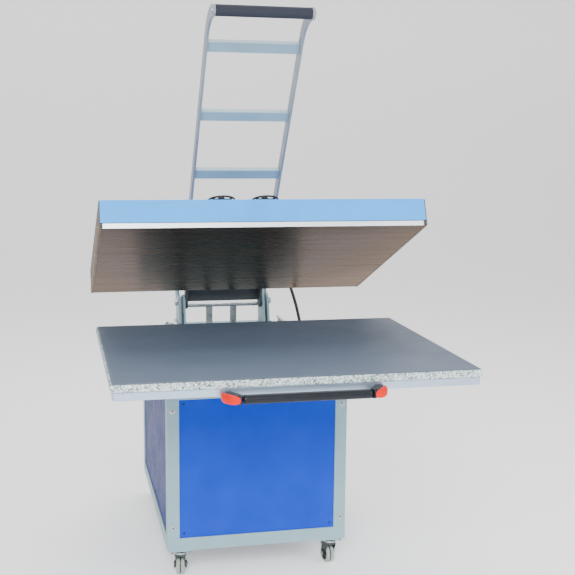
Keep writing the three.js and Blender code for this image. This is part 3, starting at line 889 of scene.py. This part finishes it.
class HEATPRESS_OT_handle(bpy.types.Operator):
    """Make the pull handle's sleeve, brackets and caps"""

    bl_idname = "heatpress.handle"
    bl_label = "Handle"

    def execute(self, context):
        radius = 12.5
        low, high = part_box("handle_tube")
        centre = (low + high) / 2
        sleeve = Piece("handle_sleeve")
        length = (high.x - low.x) * 1000
        near = [(0, 0), (radius - 0.4, 0), (radius, 0.6), (radius, 8), (radius, 16)]
        far = [(r, length - h) for r, h in reversed(near)]
        sleeve.turned(near + far, facing(Vector((low.x, centre.y, centre.z)), X_AXIS), 36)
        piece = sleeve.done("sleeve", "drawer", "black_plastic")
        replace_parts(piece, "handle_tube")
        for name, side in SIDES:
            self.end(name, side)
        return {"FINISHED"}

    def end(self, name, side):
        """One bracket back to the plate, and the red cap on its outer corner."""
        low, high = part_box(f"handle_end_{name}")
        outer = low.x * 1000 if side < 0 else high.x * 1000
        depth = (high.y - low.y) * 1000
        tall = (high.z - low.z) * 1000
        centre = Vector((0, high.y, (low.z + high.z) / 2))

        def ribbon(piece, rows, half_heights, bulge):
            """Lofts a bar of rounded section along rows of (outer u, outer v, inner u, inner v)."""
            rings = []
            for (u0, v0, u1, v1), half in zip(rows, half_heights):
                a = Vector(((outer - side * u0) / 1000, high.y - v0 / 1000, 0))
                b = Vector(((outer - side * u1) / 1000, high.y - v1 / 1000, 0))
                ring = []
                for k in range(20):
                    turn = 2 * math.pi * k / 20
                    share = 0.5 - 0.5 * math.copysign(abs(math.cos(turn)) ** bulge, math.cos(turn))
                    lift = half * math.copysign(abs(math.sin(turn)) ** bulge, math.sin(turn))
                    spot = a.lerp(b, share)
                    ring.append(Vector((spot.x, spot.y, centre.z + lift / 1000)))
                rings.append(ring)
            piece.loft(rings)
            return piece

        half = tall / 2
        shank = [
            (4, 0, 33, 0), (4.5, 7, 34.5, 7), (5.5, 15, 39, 14), (7.5, 24, 45, 22),
            (12, 34, 50, 30), (20, 44, 52.8, 37), (31, 54, 52.9, 37.3), (39, 61, 52.9, 37.4),
            (46, depth, 52.9, 37.5),
        ]
        heights = [half - 1.2, half - 0.5, half - 0.3, half - 0.3, half - 0.3, half - 0.2,
                   half - 0.1, half, half]
        body = ribbon(Piece(f"handle_bracket_{name}"), shank, heights, 0.62)
        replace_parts(body.done("sleeve", "drawer", "black_plastic"), f"handle_end_{name}")
        edge = [
            (1.6, 1, 5, 1), (0.4, 9, 7.4, 8), (0, 18, 10, 15.5), (0.5, 27, 14, 23.5),
            (2.6, 36, 20, 32), (6.5, 44.5, 27, 40.5), (13, 52.5, 34, 49), (22, 58.8, 40, 56.5),
            (31, 61.8, 42.6, 60.6), (38, depth, 43.4, 62.2),
        ]
        swell = [half * 0.55, half * 0.8, half * 0.93, half, half, half, half * 0.98, half * 0.9,
                 half * 0.7, half * 0.4]
        shell = ribbon(Piece(f"handle_cap_{name}"), edge, swell, 0.72)
        shell.done("red", "drawer", "red_plastic")


# ---- cabinet fittings ----
class HEATPRESS_OT_cabinet(bpy.types.Operator):
    """Make the cabinet's bolts, panel screws, foot bolts and rear fittings"""

    bl_idname = "heatpress.cabinet"
    bl_label = "Cabinet fittings"

    def execute(self, context):
        values = settings("cabinet")
        self.post_bolts(values.bolt_radius * 1000)
        self.panel_screws(values.screw_radius * 1000)
        self.foot_bolts()
        self.slide_screws()
        self.rear_fittings()
        return {"FINISHED"}

    def post_bolts(self, radius):
        bolts = Piece("post_bolts")
        socket_shade = Piece("post_bolt_socket_shade")
        for x in (-279, 279):
            for z in (175, 562):
                bolts.button_bolt(at(x, 604.2, z), -Y_AXIS, radius, 3.6, washer=radius + 1.6)
                # painted shade: a black disc at the bottom of each bolt's drive recess
                socket_shade.turned(disc(0.4 * radius, 0.3), facing(at(x, 601.6, z), -Y_AXIS), 12)
        bolts.done("zinc", "stand", "zinc")
        socket_shade.done("black", "stand", "zinc")

    def panel_screws(self, radius):
        screws = Piece("panel_screws")
        for x in (-243, 243):
            for z in (153, 583):
                screws.button_bolt(at(x, 607.5, z), -Y_AXIS, radius, 2.4)
                screws.button_bolt(at(x, 1449.4, z), Y_AXIS, radius, 2.4)
        for side in (-1, 1):
            for y in (660, 1028, 1397):
                for z in (153, 583):
                    screws.button_bolt(at(side * 293.4, y, z), X_AXIS * side, radius, 2.4)
        screws.done("dark_steel", "stand", "zinc")

    def foot_bolts(self):
        bolts = Piece("tower_foot_bolts")
        for side in (-1, 1):
            for y in (1271, 1338):
                bolts.hex_bolt(at(side * 190, y, 698.3), Z_AXIS, 13, 7, spin=0.4 * side)
            for y in (614, 1443):
                bolts.button_bolt(at(side * 201, y, 690), Z_AXIS, 5, 3.4, washer=6.5)
        bolts.done("dark_steel", "stand", "zinc")

    def slide_screws(self):
        for group, body, first in (("outer", "stand", 630), ("inner", "drawer", 175)):
            screws = Piece(f"slide_{group}_screws")
            for side in (-1, 1):
                for k in range(5):
                    y = first + k * 145
                    if group == "outer":
                        screws.button_bolt(at(side * 176, y, 694.2), Z_AXIS, 4.2, 2.4)
                    else:
                        screws.button_bolt(at(side * 172, y, 757.8), -Z_AXIS, 4.2, 2.4)
            screws.done("zinc", body, "zinc")

    def rear_fittings(self):
        """The mains inlet and the vents, on the rear panel behind the frame's face."""
        back = facing(at(150, 1449.3, 210), Y_AXIS)
        inlet = Piece("mains_inlet")
        inlet.prism(rounded(50, 30, 5), 0, 2.2, back, soft=0.6)
        inlet.prism(rounded(27, 19, 4), 2.1, 3.2, back, soft=0.3)
        inlet.done("black", "stand", "black_plastic")
        prongs = Piece("mains_inlet_pins")
        for x, y in ((-7, 2), (7, 2), (0, -3)):
            place = facing(at(150 + x, 1451.8, 210 + y), Y_AXIS)
            prongs.prism(rounded(2.2, 4.4, 0.6), 0, 1.0, place, soft=0.2)
        prongs.done("bright", "stand", "zinc")
        vents = Piece("rear_vents")
        for row in range(7):
            for column in range(4):
                place = facing(at(-150 + column * 62, 1449.3, 440 + row * 15), Y_AXIS)
                vents.prism(rounded(48, 5.5, 2.6), 0, 2.4, place, soft=1.3)
        vents.done("panel", "stand", "panel_blue")


class HEATPRESS_OT_controls(bpy.types.Operator):
    """Make the controller's face: display, keys, pilot lamp, switch and screws"""

    bl_idname = "heatpress.controls"
    bl_label = "Controls"

    def execute(self, context):
        low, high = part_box("control_box")
        middle = (low + high) / 2

        def spot(along, up, out=0.0):
            return Vector((high.x + out / 1000, middle.y + along / 1000, middle.z + up / 1000))

        def plate(name, along, up, width, height, corner, thick, look, slot, base=0.0, soft=0.5):
            piece = Piece(name)
            outline = rounded(height, width, corner)
            piece.prism(outline, 0, thick, facing(spot(along, up, base), X_AXIS), soft=soft)
            return piece.done(look, "stand", slot)

        plate("control_face", 0, 0, 162, 122, 6, 1.6, "black", "black_plastic")
        plate("control_bezel", -28, 26, 84, 46, 4, 2.0, "enamel", "black_plastic", 1.4)
        glass = Finish("display_glass", (0.05, 0.07, 0.07), 0.08, Coat_Weight=1.0)
        glass.put("Base Color", glass.tint(glass.grain(14, 2), 0.8, 1.3))
        plate("display_glass", -28, 26, 72, 34, 2, 0.8, glass.material, "black_plastic", 3.2, 0.2)
        digits = Finish("display_digits", (0.95, 0.25, 0.10), 0.4)
        digits.put("Emission Color", (*linear((0.95, 0.25, 0.10)), 1))
        digits.put("Emission Strength", 1.2)
        digits.put("Base Color", digits.tint(digits.grain(300, 2), 0.9, 1.0))
        bars = Piece("display_digits")
        for k in range(3):
            for along, up, wide, tall in (
                (0, 10, 8, 1.6), (0, 0, 8, 1.6), (0, -10, 8, 1.6), (-4.6, 5, 1.6, 8),
                (4.6, 5, 1.6, 8), (-4.6, -5, 1.6, 8), (4.6, -5, 1.6, 8),
            ):
                where = spot(-28 + (k - 1) * 17 + along, 26 + up, 3.9)
                bars.prism(rounded(tall, wide, 0.6, 2), 0, 0.25, facing(where, X_AXIS))
        bars.done(digits.material, "stand", "red_plastic")
        keys = Piece("control_keys")
        for k in range(4):
            place = facing(spot(-58 + k * 20, -18, 1.5), X_AXIS)
            keys.turned([(0, 0), (7, 0), (7, 1.6), (6.2, 2.4), (3, 2.2), (0, 2.0)], place, 28)
        keys.done("rungs", "stand", "black_plastic")
        lamp = Piece("pilot_lamp")
        dome = [(0, 0), (5, 0), (5, 1.2), (3.6, 1.4), (3.2, 2.6), (2, 3.4), (0, 3.7)]
        lamp.turned(dome, facing(spot(48, 32, 1.5), X_AXIS), 28)
        lamp.done("red", "stand", "red_plastic")
        rocker = Piece("power_switch")
        rocker.prism(rounded(30, 22, 2), 0, 1.6, facing(spot(48, -8, 1.4), X_AXIS), soft=0.4)
        tilt = facing(spot(48, -8, 2.6), X_AXIS) @ Matrix.Rotation(math.radians(5), 4, "Y")
        rocker.prism(rounded(24, 15, 1.5), 0, 2.4, tilt, soft=0.7)
        rocker.done("enamel", "stand", "black_plastic")
        screws = Piece("control_screws")
        for along in (-84, 84):
            for up in (-64, 64):
                screws.button_bolt(spot(along, up, -0.1), X_AXIS, 3.2, 2.0)
        screws.done("zinc", "stand", "zinc")
        return {"FINISHED"}


# ---- head fittings ----
class HEATPRESS_OT_head(bpy.types.Operator):
    """Make the head's plate rim, screws, lock nuts and handwheels"""

    bl_idname = "heatpress.head"
    bl_label = "Head fittings"

    def execute(self, context):
        self.rim()
        self.side_skirts()
        self.cover_screws()
        self.lock_nuts()
        for name, side in SIDES:
            self.handwheel(name, side)
        return {"FINISHED"}

    def rim(self):
        """The bright machined edge round the heating plate."""
        rings = []
        for inset, z in ((0.9, 807.2), (-0.15, 808.2), (-0.15, 823.6), (0.9, 824.2)):
            outline = rounded(994 - 2 * inset, 794 - 2 * inset, 4.5, 5, (0, HEAD_MID_Y))
            rings.append([on_head(x, y, z) for x, y in outline])
        piece = Piece("plate_rim")
        piece.loft(rings, closed_ends=False)
        piece.done("rim", "head", "plate_aluminium")

    def side_skirts(self):
        """The side sheets folded over the cover's two ends, tan as painted reflection of a brown floor and
        painted shade, with black blocks as painted shadow in their corner gaps.
        """
        sheets = Piece("side_skirts")
        corners = Piece("skirt_corner_shadows")
        for side in (-1, 1):
            outline = rounded(802, 86.3, 3, 4, (HEAD_MID_Y, HEAD_MID_Z))
            rings = []
            for x, inset in ((502.15, 0.5), (502.15, 0), (503.2, 0), (503.7, 0.6)):
                ring = []
                for y, z in outline:
                    dy = math.copysign(inset, y - HEAD_MID_Y)
                    dz = math.copysign(inset, z - HEAD_MID_Z)
                    ring.append(on_head(side * x, y - dy, z - dz))
                rings.append(ring)
            sheets.loft(rings)
            fold = HEAD_TILT @ facing(at(side * 500.5, HEAD_MID_Y, 807.3), Z_AXIS)
            sheets.prism(rounded(6.2, 794, 0.8, 2), 0, 1.0, fold, soft=0.2)
            for y in (384.6, 1185.4):
                # painted shadow: a black block in each corner gap
                foot = HEAD_TILT @ facing(at(side * 498.6, y, 806.9), Z_AXIS)
                corners.prism(rounded(5.6, 2.6, 0.8, 2), 0, 17.2, foot, soft=0.4)
        sheets.done("side_cover", "head", "cover_blue")
        corners.done("enamel", "head", "cover_blue")

    def cover_screws(self):
        screws = Piece("cover_screws")
        for y in (470, HEAD_MID_Y, 1100):
            for side in (-1, 1):
                where = on_head(side * 503.6, y, 838)
                screws.button_bolt(where, head_way(X_AXIS * side), 3.4, 1.4)
        for x in (-430, -215, 0, 150, 430):
            screws.button_bolt(on_head(x, 1186.9, 838), head_way(Y_AXIS), 3.4, 1.4)
        for x in (-118, 118):
            for y in (640, 900, 1140):
                screws.hex_bolt(on_head(x, y, 950), head_way(Z_AXIS), 13, 7, spin=y)
        screws.done("zinc", "head", "zinc")

    def lock_nuts(self):
        nuts = Piece("screw_nuts")
        for side in (-1, 1):
            place = HEAD_TILT @ facing(at(side * SCREW_X, SCREW_Y, 944.2), Z_AXIS)
            ring = [(9.0, 0), (16, 0), (16, 1.6), (9.0, 1.6), (9.0, 0)]
            nuts.turned(ring, place, 28)
            corners, inner = hexagon(13.9), hexagon(8.8)
            levels = [(corners, 1.6), (corners, 13.0), (inner, 13.0), (inner, 1.6), (corners, 1.6)]
            rings = [
                [place @ (Vector((u, v, height)) / 1000) for u, v in outline]
                for outline, height in levels
            ]
            nuts.loft(rings, closed_ends=False)
            foot = HEAD_TILT @ facing(at(side * SCREW_X, SCREW_Y, 893.5), Z_AXIS)
            nuts.turned([(8.6, 0), (22, 0), (22, 4), (12, 9), (8.6, 9), (8.6, 0)], foot, 28)
        nuts.done("zinc", "head", "zinc")

    def handwheel(self, name, side):
        """A spoked wheel on its threaded screw."""
        body = f"pressure_wheel_{name}"
        place = HEAD_TILT @ facing(at(side * SCREW_X, SCREW_Y, 1019), Z_AXIS)
        wheel = Piece(f"handwheel_rim_{name}")
        rings = []
        for i in range(48):
            a = 2 * math.pi * i / 48
            grip = 0.15 * math.cos(a * 12)
            ring = []
            for k in range(12):
                b = 2 * math.pi * k / 12
                reach = 44.8 + (3.3 + grip) * math.cos(b)
                spot = Vector((reach * math.cos(a), reach * math.sin(a), 3.5 * math.sin(b)))
                ring.append(place @ (spot / 1000))
            rings.append(ring)
        wheel.loft([*rings, rings[0]], closed_ends=False)
        for k in range(3):
            a = (k * 2 / 3 + 1 / 6) * math.pi
            way = Vector((math.cos(a), math.sin(a), 0))
            path = [place @ (way * s / 1000 + Z_AXIS * lift / 1000)
                    for s, lift in ((8, 1.5), (16, 0.6), (26, -0.6), (38, 0))]
            wheel.swept(path, 3, sides=10, radii=[4.8, 3.6, 3.1, 3.3])
        hub = [(0, -12), (12, -12), (13.8, -9), (13.8, 4), (11, 8.8), (6, 8.8), (5, 7.4), (0, 7.4)]
        wheel.turned(hub, place, 30)
        rim = wheel.done("black", body, "black_plastic")
        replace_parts(rim, f"handwheel_{name}")
        screw = Piece(f"pressure_screw_{name}")
        profile = [(0, -125.1), (6, -125.1), (6.8, -123.8)]
        height = -123.0
        while height < -16:
            profile += [(7.9, height), (6.9, height + 1.25)]
            height += 2.5
        profile += [(7.6, -12.5), (0, -12.5)]
        screw.turned(profile, place, 18)
        screw.done("bright", body, "zinc")


# ---- pivots ----
class HEATPRESS_OT_pivots(bpy.types.Operator):
    """Make the pins, washers and bolts of the hinge, the lever, the links and the struts"""

    bl_idname = "heatpress.pivots"
    bl_label = "Pivots"

    def execute(self, context):
        hinge = Piece("hinge_bolts")
        washers = Piece("hinge_washers")
        for side in (-1, 1):
            out = X_AXIS * side
            hinge.hex_bolt(at(side * 174.1, *HINGE), out, 22, 11, spin=0.3)
            washers.turned(disc(18, 2.4), facing(at(side * 146.4, *HINGE), out), 30)
        hinge.done("zinc", "stand", "zinc")
        washers.done("bright", "head", "zinc")
        pins = Piece("lever_pivot_bolts")
        for side in (-1, 1):
            pins.hex_bolt(at(side * 157.1, *LEVER_PIVOT), X_AXIS * side, 19, 6, spin=0.5)
            pins.hex_bolt(at(side * 138.2, *LEVER_PIVOT), -X_AXIS * side, 19, 0.1)
        pins.done("zinc", "lever", "zinc")
        self.link_pins()
        self.strut_ends()
        return {"FINISHED"}

    def link_pins(self):
        rear = Piece("link_fixed_pins")
        crank = Piece("link_crank_pins")
        for side in (-1, 1):
            out = X_AXIS * side
            rear.hex_bolt(at(side * 174.1, *LINK_PIN), out, 17, 8, spin=0.2)
            rear.turned(disc(9, 1.0), facing(at(side * 165.05, *LINK_PIN), out), 24)
            crank.hex_bolt(at(side * 148.9, *CRANK_PIN), -out, 15, 7, spin=0.7)
        rear.done("zinc", "stand", "zinc")
        crank.done("zinc", "lever", "zinc")

    def strut_ends(self):
        collars = {"stand": Piece("strut_rear_clips"), "head": Piece("strut_front_clips")}
        clip = [(0, 0), (7.5, 0), (7.5, 1.2), (3, 1.6), (0, 1.6)]
        front = on_head(0, *STRUT_FRONT)
        for name, side in SIDES:
            rear_spot = at(side * 78, *STRUT_REAR)
            front_spot = Vector((side * 0.078, front.y, front.z))
            collars["stand"].turned(clip, facing(rear_spot, -X_AXIS * side), 20)
            collars["head"].turned(clip, facing(front_spot, -X_AXIS * side), 20)
            rear = at(side * STRUT_X, *STRUT_REAR)
            way = (Vector((rear.x, front.y, front.z)) - rear).normalized()
            cap = Piece(f"strut_cap_{name}")
            cap.turned(
                [(6.6, 157), (10.4, 157), (10.4, 161), (8.6, 163), (6.6, 163), (6.6, 157)],
                facing(rear, way), 28,
            )
            cap.turned(
                [(10.05, 26), (10.6, 26.6), (10.6, 29), (10.05, 29.6), (10.05, 26)],
                facing(rear, way), 28,
            )
            cap.done("bright", f"strut_cylinder_{name}", "zinc")
        for body, piece in collars.items():
            piece.done("zinc", body, "zinc")


class HEATPRESS_OT_lever(bpy.types.Operator):
    """Make the lever's foam grip, its end bolts and rung welds"""

    bl_idname = "heatpress.lever"
    bl_label = "Lever fittings"

    def execute(self, context):
        values = settings("lever")
        radius = values.grip_radius * 1000
        low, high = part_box("lever_grip")
        centre = (low + high) / 2
        grip = Piece("grip_foam")
        profile = [(0, 0.2), (radius * 0.93, 0.2), (radius, 2.5)]
        steps = 40
        length = (high.x - low.x) * 1000
        for i in range(1, steps):
            share = i / steps
            swell = 0.18 * noise.noise(Vector((share * 9, 0.3, 0.7)))
            profile.append((radius - 0.2 + swell, 2.5 + (length - 5) * share))
        profile += [(radius, length - 2.5), (radius * 0.93, length - 0.2), (0, length - 0.2)]
        place = facing(Vector((low.x, centre.y, centre.z)), X_AXIS)
        grip.turned(profile, place, 40)
        foam = grip.done(soft_foam("grip_foam", values.grip_colour), "lever", "grip_foam")
        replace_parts(foam, "lever_grip")
        bolts = Piece("grip_bolts")
        for side in (-1, 1):
            edge = Vector((high.x if side > 0 else low.x, centre.y, centre.z))
            bolts.button_bolt(edge + X_AXIS * side * 0.0083, X_AXIS * side, 8.2, 4.6, washer=10.5)
        bolts.done("zinc", "lever", "zinc")
        self.welds()
        return {"FINISHED"}

    def welds(self):
        """Fillet beads where the rungs meet the bars."""
        beads = Piece("rung_welds")
        forward = Vector((0, -math.cos(LEVER_LEAN), math.sin(LEVER_LEAN)))
        across = X_AXIS.cross(forward)
        for rung in ("rung_lower", "rung_middle", "rung_upper"):
            low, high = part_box(rung)
            centre = (low + high) / 2
            for side in (-1, 1):
                start = Vector((side * BAR_INNER_X / 1000, centre.y, centre.z))
                for edge in (-1, 1):
                    path, radii = [], []
                    for k in range(15):
                        share = k / 14 - 0.5
                        path.append(start + forward * share * 0.030 + across * edge * 0.0104)
                        radii.append(1.5 + 0.35 * math.sin(k * 2.1 + edge))
                    beads.swept(path, 1.5, sides=8, radii=radii)
        beads.done("bars", "lever", "lever_grey")


# ---- casters ----
class HEATPRESS_OT_casters(bpy.types.Operator):
    """Make the caster wheels, their hubs, axle nuts, races and plate bolts"""

    bl_idname = "heatpress.casters"
    bl_label = "Casters"

    def execute(self, context):
        for row, y in CASTER_Y.items():
            for name, side in SIDES:
                self.caster(row, name, side * CASTER_X, y)
        bolts = Piece("caster_plate_bolts")
        for y in CASTER_Y.values():
            for side in (-1, 1):
                for dx in (-29, 29):
                    for dy in (-19, 19):
                        where = at(side * CASTER_X + dx, y + dy, 91.6)
                        bolts.hex_bolt(where, -Z_AXIS, 9, 4.6, washer=False, spin=dx + dy)
        bolts.done("dark_steel", "stand", "caster_steel")
        return {"FINISHED"}

    def caster(self, row, name, x, y):
        values = settings("casters")
        turn = math.radians(CASTER_TURN[f"{row}_{name}"])
        trail = Vector((math.sin(turn), math.cos(turn), 0))
        axle = Vector((math.cos(turn), -math.sin(turn), 0))
        centre = at(x, y, AXLE_Z) + trail * TRAIL / 1000
        place = facing(centre, axle)
        body, fork = f"wheel_{row}_{name}", f"fork_{row}_{name}"
        tread = Piece(f"caster_tread_{row}_{name}")
        half = [(23.5, 13.2), (27, 13.3), (30.2, 12.2), (31.6, 10), (32, 7.2), (31.7, 4.4),
                (30.6, 2.4), (28.6, 1.3)]
        profile = mirrored(half)
        tread.turned([*profile, profile[0]], place, values.segments)
        wheel = tread.done("rubber", body, "tread")
        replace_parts(wheel, f"caster_wheel_{row}_{name}")
        core = Piece(f"caster_core_{row}_{name}")
        dish = [(0, 12.6), (7.5, 12.6), (8, 11.8), (11, 9.2), (18, 8.6), (21.5, 11.4), (23.6, 12.6)]
        core.turned(mirrored(dish), place, 36)
        core.turned([(24, -1.9), (29.7, -1.9), (29.7, 1.9), (24, 1.9), (24, -1.9)], place, 48)
        core.done("black", body, "black_plastic")
        cheeks = Piece(f"caster_cheeks_{row}_{name}")
        for way in (-1, 1):
            cheeks.turned(
                [(0, 0), (13.5, 0), (13.5, 2.6), (11.8, 4.2), (0, 4.6)],
                facing(centre + axle * way * FORK_HALF / 1000, axle * way), 28,
            )
        cheeks.done("black", fork, "black_plastic")
        nuts = Piece(f"caster_axle_{row}_{name}")
        for way in (-1, 1):
            nuts.hex_bolt(centre + axle * way * 0.0210, axle * way, 9, 2.6, spin=0.4)
            nuts.turned(disc(3.6, 3.4), facing(centre + axle * way * 0.0131, axle * way), 18)
        race = [(20.2, 0), (21, 1.4), (21, 3.2), (20.2, 4.6), (17, 5.4), (15.2, 5.4), (15.2, 0),
                (20.2, 0)]
        nuts.turned(race, facing(at(x, y, 79.6), Z_AXIS), 32)
        nuts.done("zinc", fork, "zinc")


# ---- cable ----
class HEATPRESS_OT_cable(bpy.types.Operator):
    """Make the head's cable and the glands at its two ends"""

    bl_idname = "heatpress.cable"
    bl_label = "Head cable"

    def execute(self, context):
        values = settings("cable")
        points = [on_head(*spot) for spot in CABLE_ON_HEAD] + [at(*spot) for spot in CABLE_HANGING]
        start = points[0]
        line = route(points, 3)
        sleeve = Finish("cable_sleeve", values.colour, 0.5)
        sleeve.put("Base Color", sleeve.tint(sleeve.grain(90, 4), 0.7, 1.3))
        sleeve.bump(sleeve.grain(700, 2), 0.3, 0.0004)
        cable = Piece("head_supply_cable").swept(line, values.diameter * 500, sides=16)
        piece = cable.done(sleeve.material, None, "cable_black")
        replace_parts(piece, "head_cable")
        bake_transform(piece)
        boot = [(6.2, 0), (10.5, 0), (10.5, 5), (9.6, 6), (9.6, 9), (8.4, 12), (7.2, 24), (6.6, 30),
                (6.2, 30), (6.2, 0)]
        near = Piece("head_cable_boot").turned(boot, facing(start, head_way(Y_AXIS)), 24)
        near.done("black", "head", "black_plastic")
        gland = [(6.3, 0), (15, 0), (15, 3), (12.4, 3.6), (12.4, 9), (11.2, 12.5), (6.3, 12.5),
                 (6.3, 0)]
        tail = [(6.3, 0), (9.8, 0), (9.2, 6), (7.6, 18), (6.6, 28), (6.3, 28), (6.3, 0)]
        end = at(*GLAND_END)
        far = Piece("control_cable_gland").turned(gland, facing(end, Y_AXIS), 24)
        far.turned(tail, facing(end + Y_AXIS * 0.0115, Y_AXIS), 24)
        far.done("black", "stand", "black_plastic")
        return {"FINISHED"}


STEPS = (
    HEATPRESS_OT_stage,
    HEATPRESS_OT_finishes,
    HEATPRESS_OT_cable,
    HEATPRESS_OT_bed,
    HEATPRESS_OT_handle,
    HEATPRESS_OT_cabinet,
    HEATPRESS_OT_controls,
    HEATPRESS_OT_head,
    HEATPRESS_OT_pivots,
    HEATPRESS_OT_lever,
    HEATPRESS_OT_casters,
)


class HEATPRESS_PT_panel(bpy.types.Panel):
    """Lists the press's settings and steps"""

    bl_idname = "HEATPRESS_PT_panel"
    bl_label = "Heat Press"
    bl_space_type = "VIEW_3D"
    bl_region_type = "UI"
    bl_category = "Heat Press"

    def draw(self, context):
        for group, kind in SETTINGS.items():
            box = self.layout.box()
            box.label(text=group.capitalize())
            for name in kind.__annotations__:
                box.prop(getattr(context.scene, f"heat_press_{group}"), name)
        for step in STEPS:
            self.layout.operator(step.bl_idname)


CLASSES = (*SETTINGS.values(), *STEPS, HEATPRESS_PT_panel)


def register():
    for kind in CLASSES:
        bpy.utils.register_class(kind)
    for group, kind in SETTINGS.items():
        setattr(bpy.types.Scene, f"heat_press_{group}", PointerProperty(type=kind))


def unregister():
    for group in SETTINGS:
        delattr(bpy.types.Scene, f"heat_press_{group}")
    for kind in reversed(CLASSES):
        bpy.utils.unregister_class(kind)


def main():
    register()
    for step in STEPS:
        getattr(bpy.ops.heatpress, step.bl_idname.split(".")[1])()


if __name__ == "__main__":
    main()
